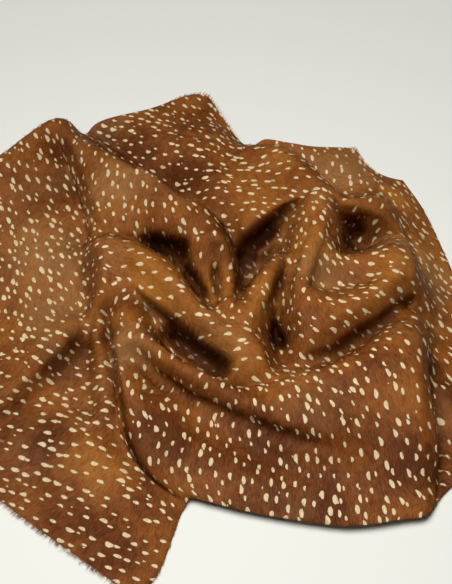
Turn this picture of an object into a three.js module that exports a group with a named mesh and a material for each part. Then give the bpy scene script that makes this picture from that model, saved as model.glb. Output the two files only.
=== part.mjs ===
// A hair-on deer hide let fall on a table and drawn up at its middle into a whirl of soft folds.
// Millimetres, +Z up, +Y away from the viewer. The hide rests on the plane z = 0.
import * as THREE from "three";

// Driving dimensions
const HIDE_THICKNESS = 2; // leather with its coat pressed flat
const FOLD_ROUNDING = 4; // how softly the hide turns over a fold line
const EASE = 0.4; // how far the hide may pass a station by to stay smooth
const BEND_LIMIT = 3.6; // how far a point may stand out from its neighbours before the bend is rounded off
const BEND_PASSES = 8; // times the tight bends are looked over
const SETTLE = 3; // height over which the hide eases down onto the table
const STATION_STEP = 13; // spacing of the points taken along a fold line
const STATION_GAP = 5; // a place nearer than this to one already taken is left out
const ROWS = 54; // mesh lines from the front edge to the back edge
const COLUMNS = 54; // mesh lines from the left edge to the right edge

// Mesh lines crowd where the folds are tight: [share of the mesh lines, share of the edge].
const CROWD_ACROSS = [[0, 0], [0.08, 0.17], [0.3, 0.34], [0.86, 0.8], [1, 1]];
const CROWD_BACK = [[0, 0], [0.11, 0.24], [0.83, 0.76], [1, 1]];

const HIDE_COLOUR = 0x84491f;

// The sight in which the fold lines are laid out: a frame of wide by tall steps, seen from above the front
// edge. Angles are in degrees.
const SIGHT = { wide: 452, tall: 584, elevation: 50, opening: 30, distance: 1308 };

// Fold lines of the hide. A station is [across, down, height]: steps across and down the sight, and
// millimetres above the table. lean is how far a line is carried sideways over the hide beside it, and
// fall is the slope beyond the line: how far it runs right and back, and how far the hide drops there.
const FOLDS = [
  // Left flap
  { name: "left top roll", stations: [[-42, 184, 14], [0, 158, 32], [34, 133, 42], [58, 115, 51]] },
  { name: "left upper panel", stations: [[-20, 244, 6], [14, 213, 19], [50, 178, 26], [66, 158, 30]] },
  { name: "left side valley", stations: [[60, 148, 32], [76, 177, 22], [86, 202, 19], [88, 240, 18]] },
  { name: "left middle", stations: [[-20, 340, 1], [14, 290, 13], [50, 255, 20], [80, 270, 18]] },
  {
    name: "left step", lean: [0, -6],
    stations: [[-30, 424, 6], [0, 402, 13], [40, 370, 18], [68, 342, 21], [88, 316, 24]],
  },
  {
    name: "left step foot",
    stations: [[-20, 434, 3], [6, 416, 3], [48, 388, 4], [75, 361, 5], [90, 348, 7]],
  },
  { name: "left lower", stations: [[0, 452, 2], [45, 440, 7], [80, 420, 7], [110, 462, 5], [140, 490, 0]] },
  { name: "left front", stations: [[30, 505, -4], [80, 520, -5], [140, 530, -5], [165, 508, -4]] },
  {
    name: "left margin",
    stations: [[-52, 224, -4], [-58, 300, -6], [-54, 380, -7], [-34, 444, -6], [10, 490, -6]],
  },
  // Pleat that runs from the top left corner into the whirl
  {
    name: "pleat crease", lean: [-13, 0],
    stations: [[65, 128, 48], [73, 150, 48], [84, 176, 47], [98, 212, 47], [106, 230, 49]],
  },
  {
    name: "pleat ridge", fall: [5, 15, 36],
    stations: [[62, 114, 54], [88, 134, 56], [120, 156, 62], [150, 176, 65], [182, 199, 66]],
  },
  { name: "pleat face", stations: [[84, 150, 48], [104, 178, 52], [128, 202, 54]] },
  { name: "pleat foot", stations: [[116, 234, 44], [130, 238, 42], [142, 236, 44]] },
  // Back panel
  { name: "back middle", stations: [[120, 130, 22], [165, 140, 34], [200, 165, 42], [214, 195, 46]] },
  { name: "back swell", stations: [[150, 120, 25], [205, 125, 30], [250, 165, 48], [285, 172, 58]] },
  {
    name: "back ridge", fall: [9, 13, 36],
    stations: [[250, 146, 30], [280, 149, 43], [305, 162, 55], [334, 189, 67]],
  },
  {
    name: "back lip", lean: [3, -9],
    stations: [[302, 197, 64], [280, 210, 61], [262, 224, 58], [243, 238, 53], [227, 246, 48]],
  },
  // Whirl
  {
    name: "first roll",
    stations: [[97, 244, 66], [130, 250, 69], [160, 267, 70], [186, 293, 68], [212, 322, 64],
      [240, 345, 60], [260, 356, 56]],
  },
  {
    name: "first roll back",
    stations: [[142, 246, 60], [164, 259, 62], [182, 276, 61], [194, 296, 58], [206, 313, 54]],
  },
  {
    name: "first roll front", lean: [-5, -7],
    stations: [[114, 268, 57], [138, 290, 53], [160, 306, 51], [180, 322, 49], [200, 344, 48],
      [216, 357, 47], [232, 367, 47], [250, 371, 46], [268, 368, 44]],
  },
  {
    name: "first hollow",
    stations: [[150, 258, 24], [166, 267, 9], [183, 282, 5], [197, 299, 8], [207, 310, 16]],
  },
  {
    name: "second roll top", lean: [0, -8],
    stations: [[144, 238, 50], [168, 240, 55], [186, 240, 60], [204, 232, 65]],
  },
  {
    name: "second roll back", fall: [8, 9, 24],
    stations: [[184, 203, 62], [200, 206, 62], [214, 218, 63], [224, 238, 62]],
  },
  { name: "second roll left", lean: [-3, 0], stations: [[193, 246, 63], [200, 266, 59], [207, 288, 50]] },
  {
    name: "second roll right", lean: [3, 0],
    stations: [[218, 236, 69], [228, 258, 69], [231, 280, 67], [228, 304, 64], [228, 324, 62]],
  },
  { name: "second roll slit", stations: [[213, 264, 44], [216, 288, 26], [216, 308, 22]] },
  {
    name: "second hollow",
    stations: [[280, 242, 26], [262, 258, 10], [244, 271, 7], [240, 291, 11], [239, 307, 25]],
  },
  { name: "third roll", stations: [[286, 252, 62], [272, 278, 64], [260, 308, 62], [254, 336, 57]] },
  {
    name: "third roll back", fall: [-5, 9, 28],
    stations: [[282, 246, 64], [264, 264, 64], [252, 282, 60], [243, 302, 55]],
  },
  {
    name: "third valley",
    stations: [[290, 214, 46], [291, 245, 52], [287, 278, 47], [280, 305, 36], [276, 324, 26]],
  },
  { name: "third hollow", stations: [[279, 334, 33], [284, 348, 25], [290, 360, 26]] },
  {
    name: "fourth roll",
    stations: [[331, 196, 71], [323, 216, 75], [314, 241, 75], [304, 268, 73], [296, 295, 68],
      [290, 318, 61]],
  },
  { name: "fourth roll left", stations: [[308, 200, 68], [302, 230, 68], [297, 262, 65], [290, 290, 60]] },
  {
    name: "under hollow",
    stations: [[156, 331, 26], [170, 346, 10], [186, 360, 7], [202, 374, 12], [222, 389, 26],
      [246, 392, 36], [268, 387, 39]],
  },
  // Right hood
  {
    name: "hood rim back", lean: [-2, -12], fall: [4, 16, 40],
    stations: [[342, 199, 63], [364, 202, 65], [380, 210, 66]],
  },
  {
    name: "hood rim side", lean: [-5, -4], fall: [17, 8, 42],
    stations: [[386, 215, 65], [402, 238, 66], [412, 266, 66], [419, 288, 62]],
  },
  { name: "hood pocket", stations: [[347, 236, 14], [362, 239, 10], [378, 239, 16], [391, 236, 38]] },
  { name: "hood flank", lean: [2, 0], stations: [[337, 206, 62], [338, 226, 59], [336, 246, 58]] },
  { name: "hood sill", fall: [0, 10, 20], stations: [[343, 254, 57], [370, 254, 58], [390, 247, 61]] },
  { name: "hood floor", stations: [[312, 285, 57], [342, 285, 54], [376, 277, 58]] },
  {
    name: "hood swell",
    stations: [[300, 344, 54], [322, 334, 61], [352, 322, 63], [384, 300, 64], [404, 280, 65]],
  },
  {
    name: "hood crease",
    stations: [[304, 361, 38], [330, 355, 40], [360, 340, 42], [384, 320, 42], [400, 307, 41],
      [415, 300, 37]],
  },
  // Front apron
  {
    name: "apron top",
    stations: [[262, 396, 49], [305, 378, 54], [348, 360, 57], [382, 338, 59], [404, 320, 60]],
  },
  { name: "apron left panel", stations: [[118, 292, 50], [136, 306, 48], [142, 328, 45]] },
  {
    name: "apron ridge",
    stations: [[124, 324, 50], [150, 345, 50], [178, 364, 48], [205, 379, 49], [233, 393, 51],
      [263, 409, 50], [292, 424, 47], [326, 437, 42], [358, 446, 36]],
  },
  {
    name: "apron step",
    stations: [[130, 354, 34], [150, 375, 28], [176, 395, 26], [208, 411, 26], [240, 425, 26],
      [290, 448, 23], [340, 464, 20]],
  },
  { name: "apron middle", stations: [[305, 402, 53], [345, 408, 51], [388, 415, 46]] },
  {
    name: "apron front",
    stations: [[158, 430, 28], [210, 456, 22], [290, 480, 17], [370, 484, 18], [412, 478, 20]],
  },
  {
    name: "apron left edge", lean: [-16, 0],
    stations: [[110, 284, 54], [113, 338, 50], [119, 373, 44], [125, 404, 37], [131, 436, 29],
      [140, 460, 20], [154, 474, 15], [174, 486, 11]],
  },
  {
    name: "apron right edge", lean: [18, 0],
    stations: [[417, 306, 63], [420, 343, 60], [424, 378, 53], [428, 424, 40], [431, 468, 23],
      [429, 500, 11]],
  },
  // Fold beside the apron's left edge
  {
    name: "side roll",
    stations: [[99, 262, 58], [100, 298, 44], [102, 343, 34], [105, 383, 26], [110, 420, 14]],
  },
  { name: "side roll foot", stations: [[90, 288, 18], [90, 328, 10], [93, 367, 7], [98, 412, 6]] },
  {
    name: "side roll gap",
    stations: [[110, 328, 8], [114, 368, 5], [120, 407, 3], [129, 446, 1], [146, 475, 0],
      [172, 495, 1]],
  },
  // Right back panel and the fold in front of it
  {
    name: "right panel inner",
    stations: [[300, 150, 20], [340, 172, 18], [385, 195, 20], [415, 240, 20], [432, 290, 18]],
  },
  {
    name: "right panel roll",
    stations: [[380, 180, 11], [402, 196, 15], [416, 234, 16], [432, 276, 14], [448, 312, 11]],
  },
  { name: "right panel foot", stations: [[425, 322, 16], [438, 350, 12], [456, 380, 7]] },
  {
    name: "right fold ridge", fall: [5, 7, 15],
    stations: [[426, 353, 26], [438, 374, 25], [452, 393, 22], [470, 414, 15]],
  },
  {
    name: "right fold gap",
    stations: [[427, 366, 18], [431, 400, 11], [434, 440, 7], [437, 478, 4], [434, 505, 3]],
  },
  {
    name: "right margin",
    stations: [[414, 208, -1], [436, 254, -1], [462, 318, -4], [478, 376, -6], [480, 428, -6],
      [466, 462, -5]],
  },
];

// The cut edge of the hide, in four runs of stations. Each run ends where the next begins.
const EDGES = {
  back: [
    [-66, 200, -5], [-20, 176, 0], [30, 148, 4], [62, 132, 6], [84, 136, 10], [96, 124, 20],
    [150, 109, 20], [193, 96, 22], [206, 98, 20], [213, 106, 18], [240, 141, 15], [252, 147, 10],
    [261, 140, 17], [310, 147, 14], [357, 153, 11], [363, 163, 9], [380, 174, 5], [402, 182, -2],
  ],
  right: [
    [402, 182, -2], [422, 214, -5], [446, 264, -5], [470, 320, -5], [490, 380, -5],
    [494, 430, -5], [480, 464, -4],
  ],
  front: [
    [134, 598, -3], [146, 588, -3], [158, 571, -3], [172, 537, -2], [184, 508, 1], [191, 498, 7],
    [208, 501, 9], [240, 509, 9], [300, 520, 9], [350, 525, 9], [405, 518, 9], [424, 514, 8],
    [432, 505, 5], [452, 486, 0], [480, 464, -4],
  ],
  left: [
    [-66, 200, -5], [-84, 290, -5], [-78, 390, -5], [-52, 462, -5], [0, 501, -4], [60, 545, -4],
    [104, 576, -4], [134, 598, -3],
  ],
};

// Where a line of sight meets the level of a station, on the table's plan.
function onPlan([across, down, height]) {
  const tilt = THREE.MathUtils.degToRad(SIGHT.elevation);
  const focal = SIGHT.tall / 2 / Math.tan(THREE.MathUtils.degToRad(SIGHT.opening / 2));
  const right = across - SIGHT.wide / 2;
  const below = down - SIGHT.tall / 2;
  const forward = focal * Math.cos(tilt) - below * Math.sin(tilt);
  const fall = focal * Math.sin(tilt) + below * Math.cos(tilt);
  const reach = (SIGHT.distance * Math.sin(tilt) - height) / fall;
  return new THREE.Vector3(right * reach, forward * reach - SIGHT.distance * Math.cos(tilt), height);
}

// A smooth line through stations, as points about STATION_STEP apart.
function along(stations) {
  const curve = new THREE.CatmullRomCurve3(stations.map(onPlan), false, "centripetal");
  const count = Math.max(2, Math.round(curve.getLength() / STATION_STEP));
  return curve.getSpacedPoints(count);
}

// Solves a dense set of linear equations for several right-hand sides.
function solve(matrix, sides) {
  const size = matrix.length;
  const rows = matrix.map((row, i) => [...row, ...sides[i]]);
  for (let pivot = 0; pivot < size; pivot++) {
    let best = pivot;
    for (let i = pivot + 1; i < size; i++) {
      if (Math.abs(rows[i][pivot]) > Math.abs(rows[best][pivot])) best = i;
    }
    [rows[pivot], rows[best]] = [rows[best], rows[pivot]];
    for (let i = pivot + 1; i < size; i++) {
      const share = rows[i][pivot] / rows[pivot][pivot];
      for (let j = pivot; j < rows[i].length; j++) rows[i][j] -= share * rows[pivot][j];
    }
  }
  for (let pivot = size - 1; pivot >= 0; pivot--) {
    for (let j = size; j < rows[pivot].length; j++) {
      for (let k = pivot + 1; k < size; k++) rows[pivot][j] -= rows[pivot][k] * rows[k][j];
      rows[pivot][j] /= rows[pivot][pivot];
    }
  }
  return rows.map((row) => row.slice(size));
}

// The hide's form: a smooth spread of lean and height over the plan that meets every fold line.
function drapeThrough(lines) {
  const places = [];
  const values = [];
  const take = (place, value) => {
    if (places.some((other) => Math.hypot(other[0] - place[0], other[1] - place[1]) < STATION_GAP)) return;
    places.push(place);
    values.push(value);
  };
  for (const { lean = [0, 0], fall = [0, 0, 0], stations } of lines) {
    for (const point of along(stations)) {
      take([point.x - lean[0], point.y - lean[1]], [lean[0], lean[1], point.z]);
      if (fall[2] > 0) take([point.x + fall[0], point.y + fall[1]], [0, 0, point.z - fall[2]]);
    }
  }
  const swell = (a, b) => Math.hypot(a[0] - b[0], a[1] - b[1], FOLD_ROUNDING);
  const pull = (a, b) => (a === b ? FOLD_ROUNDING - EASE : swell(a, b));
  const matrix = places.map((a) => [...places.map((b) => pull(a, b)), 1]);
  matrix.push([...places.map(() => 1), 0]);
  const weights = solve(matrix, [...values, [0, 0, 0]]);
  return (x, y) => {
    const sum = [...weights[places.length]];
    places.forEach((place, i) => {
      const size = swell([x, y], place);
      for (let j = 0; j < sum.length; j++) sum[j] += weights[i][j] * size;
    });
    return new THREE.Vector3(x + sum[0], y + sum[1], settle(sum[2]));
  };
}

// Eases a height down to the table and never below it.
function settle(height) {
  if (height <= -SETTLE) return 0;
  if (height >= SETTLE) return height;
  return (height + SETTLE) ** 2 / (4 * SETTLE);
}

// The share of an edge at which a mesh line lies.
function crowded(share, table) {
  const next = table.findIndex(([lines], i) => i > 0 && share <= lines + 1e-9);
  const [fromLines, fromEdge] = table[next - 1];
  const [toLines, toEdge] = table[next];
  return THREE.MathUtils.mapLinear(share, fromLines, toLines, fromEdge, toEdge);
}

// The plan of the hide between its four edges, for shares u to the right and v to the back.
function planBetween(edges) {
  const run = Object.fromEntries(
    Object.entries(edges).map(([side, stations]) => [
      side,
      new THREE.CatmullRomCurve3(stations.map(onPlan), false, "centripetal"),
    ]),
  );
  const frontLeft = run.left.getPoint(1);
  const frontRight = run.right.getPoint(1);
  const backLeft = run.left.getPoint(0);
  const backRight = run.right.getPoint(0);
  return (u, v) => {
    const across = run.front.getPointAt(u).lerp(run.back.getPointAt(u), v);
    const back = run.left.getPointAt(1 - v).lerp(run.right.getPointAt(1 - v), u);
    const corners = frontLeft.clone().lerp(frontRight, u).lerp(backLeft.clone().lerp(backRight, u), v);
    return across.add(back).sub(corners);
  };
}

// Lets the hide's stiffness round off its tightest bends: an inner point that stands out too far from its
// four neighbours moves back toward them.
function eased(points) {
  return points.map((line, row) =>
    line.map((point, column) => {
      const onEdge = row === 0 || row === ROWS - 1 || column === 0 || column === COLUMNS - 1;
      if (onEdge) return point;
      const back = new THREE.Vector3();
      back.add(points[row - 1][column]).add(points[row + 1][column]);
      back.add(line[column - 1]).add(line[column + 1]).multiplyScalar(0.25).sub(point);
      const excess = Math.max(0, back.length() - BEND_LIMIT);
      return point.clone().add(back.setLength(excess / 2));
    }),
  );
}

// The under face of the hide as rows of points, front to back.
function underFace() {
  const edgeLines = Object.values(EDGES).map((stations) => ({ stations }));
  const drape = drapeThrough([...FOLDS, ...edgeLines]);
  const plan = planBetween(EDGES);
  let points = Array.from({ length: ROWS }, (_, row) =>
    Array.from({ length: COLUMNS }, (_, column) => {
      const across = crowded(column / (COLUMNS - 1), CROWD_ACROSS);
      const place = plan(across, crowded(row / (ROWS - 1), CROWD_BACK));
      return drape(place.x, place.y);
    }),
  );
  for (let pass = 0; pass < BEND_PASSES; pass++) points = eased(points);
  return points;
}

// The coat's face: the under face moved out along its normals by the hide's thickness.
function coatFace(under) {
  const { clamp } = THREE.MathUtils;
  const at = (row, column) => under[clamp(row, 0, ROWS - 1)][clamp(column, 0, COLUMNS - 1)];
  return under.map((points, row) =>
    points.map((point, column) => {
      const across = at(row, column + 1).clone().sub(at(row, column - 1));
      const back = at(row + 1, column).clone().sub(at(row - 1, column));
      return point.clone().addScaledVector(across.cross(back).normalize(), HIDE_THICKNESS);
    }),
  );
}

// One closed sheet from its two faces, with a rim round the cut edge.
function sheetBetween(under, coat) {
  const positions = [...under.flat(), ...coat.flat()].flatMap((point) => point.toArray());
  const low = (row, column) => row * COLUMNS + column;
  const high = (row, column) => ROWS * COLUMNS + low(row, column);
  const index = [];
  const quad = (a, b, c, d) => index.push(a, b, c, a, c, d);
  for (let row = 0; row + 1 < ROWS; row++) {
    for (let column = 0; column + 1 < COLUMNS; column++) {
      quad(high(row, column), high(row, column + 1), high(row + 1, column + 1), high(row + 1, column));
      quad(low(row, column), low(row + 1, column), low(row + 1, column + 1), low(row, column + 1));
    }
  }
  const rim = (from, to) => quad(low(...from), low(...to), high(...to), high(...from));
  for (let column = 0; column + 1 < COLUMNS; column++) {
    rim([0, column], [0, column + 1]);
    rim([ROWS - 1, column + 1], [ROWS - 1, column]);
  }
  for (let row = 0; row + 1 < ROWS; row++) {
    rim([row + 1, 0], [row, 0]);
    rim([row, COLUMNS - 1], [row + 1, COLUMNS - 1]);
  }
  const geometry = new THREE.BufferGeometry();
  geometry.setAttribute("position", new THREE.Float32BufferAttribute(positions, 3));
  geometry.setIndex(index);
  geometry.computeVertexNormals();
  return geometry;
}

// Moves the sheet so that the middle of its plan is the origin.
function centred(geometry) {
  geometry.computeBoundingBox();
  const middle = geometry.boundingBox.getCenter(new THREE.Vector3());
  return geometry.translate(-middle.x, -middle.y, 0);
}

function makeHide() {
  const under = underFace();
  const material = new THREE.MeshStandardMaterial({ color: HIDE_COLOUR, roughness: 0.55, metalness: 0 });
  const mesh = new THREE.Mesh(centred(sheetBetween(under, coatFace(under))), material);
  mesh.name = "hide";
  return mesh;
}

const group = new THREE.Group();
group.add(makeHide());
export default group;
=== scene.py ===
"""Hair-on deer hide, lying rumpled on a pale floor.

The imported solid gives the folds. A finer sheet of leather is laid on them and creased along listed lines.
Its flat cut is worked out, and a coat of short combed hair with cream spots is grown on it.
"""

import logging
import math
from dataclasses import dataclass
from enum import Enum
from typing import Any, NamedTuple, Sequence

import bpy
import numpy as np
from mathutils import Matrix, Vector
from mathutils.bvhtree import BVHTree


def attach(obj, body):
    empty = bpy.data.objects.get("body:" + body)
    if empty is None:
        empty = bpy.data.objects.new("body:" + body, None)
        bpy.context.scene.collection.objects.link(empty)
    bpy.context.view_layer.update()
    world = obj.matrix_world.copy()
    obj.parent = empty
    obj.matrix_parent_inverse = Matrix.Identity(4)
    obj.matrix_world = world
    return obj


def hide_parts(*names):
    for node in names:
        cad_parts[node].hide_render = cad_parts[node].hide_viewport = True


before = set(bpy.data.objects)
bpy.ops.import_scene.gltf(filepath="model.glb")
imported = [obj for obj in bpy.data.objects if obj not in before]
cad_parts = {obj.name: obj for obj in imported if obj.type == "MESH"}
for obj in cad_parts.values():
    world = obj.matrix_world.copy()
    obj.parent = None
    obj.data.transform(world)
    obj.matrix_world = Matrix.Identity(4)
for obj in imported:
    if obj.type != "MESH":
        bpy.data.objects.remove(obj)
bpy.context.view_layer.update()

log = logging.getLogger("hide")

MM = 0.001
TINY = 1e-12
BODY = "root"
NODE = "hide"
FLAT_MAP = "flat"
BAKE_MAP = "OFBake"
PRINT = "print_lay"
TONE = "tone"
REACH = "reach"
HOLLOW = "hollow"
TINT = "tint"

Triple = tuple[float, float, float]


class Side(Enum):
    """The three finishes of the leather sheet, by material index."""

    HAIR = 0
    FLESH = 1
    CUT = 2


@dataclass(frozen=True)
class Sight:
    """The view that the hide is seen from, in steps across and down a picture."""

    wide: float = 452.0
    tall: float = 584.0
    elevation: float = math.radians(50.0)
    opening: float = math.radians(30.0)
    distance: float = 1.308
    aim: Triple = (0.0401, 0.0267, 0.0)

    @property
    def forward(self) -> Vector:
        """Direction in which the view looks."""
        return Vector((0.0, math.cos(self.elevation), -math.sin(self.elevation)))

    @property
    def eye(self) -> Vector:
        """Place that the view is taken from."""
        return Vector(self.aim) - self.forward * self.distance

    @property
    def up(self) -> Triple:
        """Direction that is upwards in the picture."""
        return 0.0, math.sin(self.elevation), math.cos(self.elevation)

    @property
    def spread(self) -> float:
        """How far aside a ray goes for each step from the picture's middle, at a depth of one."""
        return math.tan(0.5 * self.opening) / (0.5 * self.tall)

    def ray(self, across: float, down: float) -> Vector:
        """Direction from the eye through a step of the picture.

        Args:
            across: Steps from the picture's left edge.
            down: Steps from the picture's top edge.

        Returns:
            The unit direction.
        """
        right = Vector((1.0, 0.0, 0.0))
        aside = right * (across - 0.5 * self.wide) + Vector(self.up) * (0.5 * self.tall - down)
        return (self.forward + aside * self.spread).normalized()

    def steps(self, points: np.ndarray) -> np.ndarray:
        """Steps across and down the picture at which points are seen.

        Args:
            points: Places, with their three parts along the last axis.

        Returns:
            Two steps for each place.
        """
        away = points - np.array(self.eye)
        depth = away @ np.array(self.forward)
        rise = away @ np.array(self.up)
        across = 0.5 * self.wide + away[..., 0] / depth / self.spread
        down = 0.5 * self.tall - rise / depth / self.spread
        return np.stack((across, down), -1)

    def camera(self) -> bpy.types.Object:
        """Makes the camera of this view and sets it as the scene's.

        Returns:
            The camera object.
        """
        lens = bpy.data.cameras.new("view")
        lens.sensor_fit = "VERTICAL"
        lens.angle = self.opening
        lens.clip_end = 20.0
        holder = placed("view", lens)
        holder.location = self.eye
        holder.rotation_euler = (0.5 * math.pi - self.elevation, 0.0, 0.0)
        bpy.context.scene.camera = holder
        return holder


class Press(Enum):
    """Which way a crease is pressed."""

    INWARD = "into the hide, square to it"
    AWAY = "away from the eye, below the lips on both hands"
    UNDER = "away from the eye on the line's left hand, below the lip on its right hand"


class Crease(NamedTuple):
    """A trough, or a ridge where depth is negative, pressed in along listed steps of the picture."""

    name: str
    press: Press
    depth: float
    width: float
    steps: Sequence[tuple[float, float]]


class CreaseLine(NamedTuple):
    """Places of the hair side along a crease, their shares of its depth and their steps in the picture."""

    places: np.ndarray
    shares: np.ndarray
    steps: np.ndarray


class Tint(Enum):
    """The ways in which a patch of the coat differs from chestnut: darker hair with painted shade, golden
    hair with painted light, and a painted grey sheen.
    """

    DARK_AND_SHADE = 0
    GOLDEN_AND_LIT = 1
    PAINTED_SHEEN = 2


class Patch(NamedTuple):
    """A patch of the coat about a step of the picture, with its reach over the flat cut, where shade, light
    or sheen is painted on.
    """

    name: str
    tint: Tint
    across: float
    down: float
    reach: float


class Lay(NamedTuple):
    """A place of the picture and the way that hair or print runs there, in degrees down from rightwards."""

    across: float
    down: float
    turn: float


CREASES = (
    Crease("first hollow", Press.AWAY, 26 * MM, 10 * MM,
           ((139, 239), (161, 246), (176, 251), (184, 267))),
    Crease("first hollow tail", Press.AWAY, 24 * MM, 6 * MM,
           ((180, 258), (188, 276), (198, 291), (208, 304))),
    Crease("second hollow", Press.AWAY, 26 * MM, 12 * MM,
           ((288, 215), (268, 231), (250, 247), (245, 268), (242, 294))),
    Crease("third hollow", Press.AWAY, 24 * MM, 7 * MM,
           ((272, 321), (277, 334), (286, 350))),
    Crease("under hollow", Press.AWAY, 36 * MM, 12 * MM,
           ((164, 324), (178, 342), (197, 356), (216, 366), (234, 373))),
    Crease("hood pocket", Press.AWAY, 18 * MM, 10 * MM,
           ((352, 214), (354, 228), (358, 240))),
    Crease("second roll slit", Press.AWAY, 14 * MM, 4 * MM,
           ((215, 262), (217, 284), (217, 304))),
    Crease("pleat edge", Press.UNDER, 11 * MM, 14 * MM,
           ((106, 230), (96, 210), (89, 188), (78, 162), (68, 140), (64, 126))),
    Crease("back panel under pleat", Press.UNDER, 10 * MM, 16 * MM,
           ((70, 124), (98, 142), (124, 162), (161, 181), (187, 202))),
    Crease("apron left edge", Press.UNDER, 14 * MM, 12 * MM,
           ((186, 500), (160, 486), (140, 464), (129, 436), (122, 387), (115, 350), (111, 322), (109, 296))),
    Crease("first roll lower lip", Press.UNDER, 16 * MM, 14 * MM,
           ((235, 372), (208, 349), (186, 328), (168, 315), (148, 299), (128, 282))),
    Crease("second roll right edge", Press.UNDER, 12 * MM, 12 * MM,
           ((218, 217), (227, 233), (237, 260), (234, 292), (235, 316))),
    Crease("back panel lip", Press.UNDER, 15 * MM, 14 * MM,
           ((303, 196), (282, 206), (269, 219), (256, 233), (240, 246))),
    Crease("third roll left edge", Press.UNDER, 10 * MM, 12 * MM,
           ((237, 302), (245, 289), (253, 280), (269, 260), (284, 247))),
    Crease("fourth roll left edge", Press.UNDER, 10 * MM, 12 * MM,
           ((271, 320), (278, 299), (285, 284), (290, 246), (289, 212))),
    Crease("hood pocket rim", Press.UNDER, 16 * MM, 16 * MM,
           ((340, 205), (341, 228), (345, 248), (357, 252), (372, 250))),
    Crease("third hollow lip", Press.UNDER, 10 * MM, 10 * MM,
           ((279, 299), (271, 320), (269, 334), (274, 354))),
    Crease("hood lower edge", Press.UNDER, 13 * MM, 16 * MM,
           ((417, 290), (393, 305), (377, 317), (354, 331), (333, 346), (303, 355))),
    Crease("hood top and right edge", Press.UNDER, 6 * MM, 13 * MM,
           ((340, 198), (361, 202), (382, 212), (398, 227), (407, 237), (412, 262), (417, 289), (417, 309),
            (422, 349), (425, 390), (428, 430), (431, 470), (430, 500))),
    Crease("back panel right edge", Press.UNDER, 8 * MM, 12 * MM,
           ((270, 146), (291, 156), (318, 180), (334, 193))),
    Crease("hood notch", Press.AWAY, 12 * MM, 4 * MM,
           ((400, 307), (408, 302), (416, 297))),
    Crease("under roll crease", Press.INWARD, 3 * MM, 3 * MM,
           ((187, 324), (203, 333), (224, 347), (238, 352))),
    Crease("first hollow upper rim", Press.UNDER, 15 * MM, 12 * MM,
           ((216, 308), (206, 290), (192, 265), (187, 241), (162, 237), (139, 237), (114, 232))),
    Crease("first hollow lower rim", Press.UNDER, 12 * MM, 10 * MM,
           ((114, 234), (143, 247), (168, 258), (180, 272), (194, 291), (207, 308))),
    Crease("under hollow front rim", Press.UNDER, 12 * MM, 12 * MM,
           ((160, 326), (162, 345), (180, 363), (205, 373), (234, 377))),
    Crease("apron crease", Press.INWARD, 9 * MM, 6 * MM,
           ((128, 340), (152, 374), (186, 398), (226, 415), (270, 431), (312, 443), (356, 451))),
    Crease("back panel crease", Press.INWARD, 3 * MM, 4 * MM,
           ((150, 128), (176, 132), (202, 137), (228, 141))),
    Crease("step foot", Press.INWARD, 6 * MM, 11 * MM,
           ((8, 408), (44, 382), (74, 356), (92, 334))),
    Crease("first roll", Press.INWARD, -5 * MM, 8 * MM,
           ((104, 250), (140, 260), (170, 280), (200, 314), (232, 346))),
    Crease("second roll", Press.INWARD, -4 * MM, 6 * MM,
           ((206, 222), (222, 244), (229, 272), (229, 304))),
    Crease("third roll", Press.INWARD, -4 * MM, 6 * MM,
           ((288, 252), (270, 280), (258, 312))),
    Crease("apron ridge", Press.INWARD, -4 * MM, 8 * MM,
           ((130, 330), (178, 366), (233, 396), (292, 426), (350, 440))),
    Crease("fourth roll", Press.INWARD, -5 * MM, 7 * MM,
           ((330, 202), (316, 238), (304, 272), (294, 302))),
    Crease("hood rim", Press.INWARD, -5 * MM, 6 * MM,
           ((346, 200), (384, 213), (406, 246), (418, 286))),
    Crease("pleat ridge", Press.INWARD, -4 * MM, 6 * MM,
           ((64, 119), (100, 144), (140, 170), (182, 200))),
)

# Patches of painted shade where folds are shaded, painted light on lit roll tops and painted grey sheen,
# partly the coat's own darker and golden hair.
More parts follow.
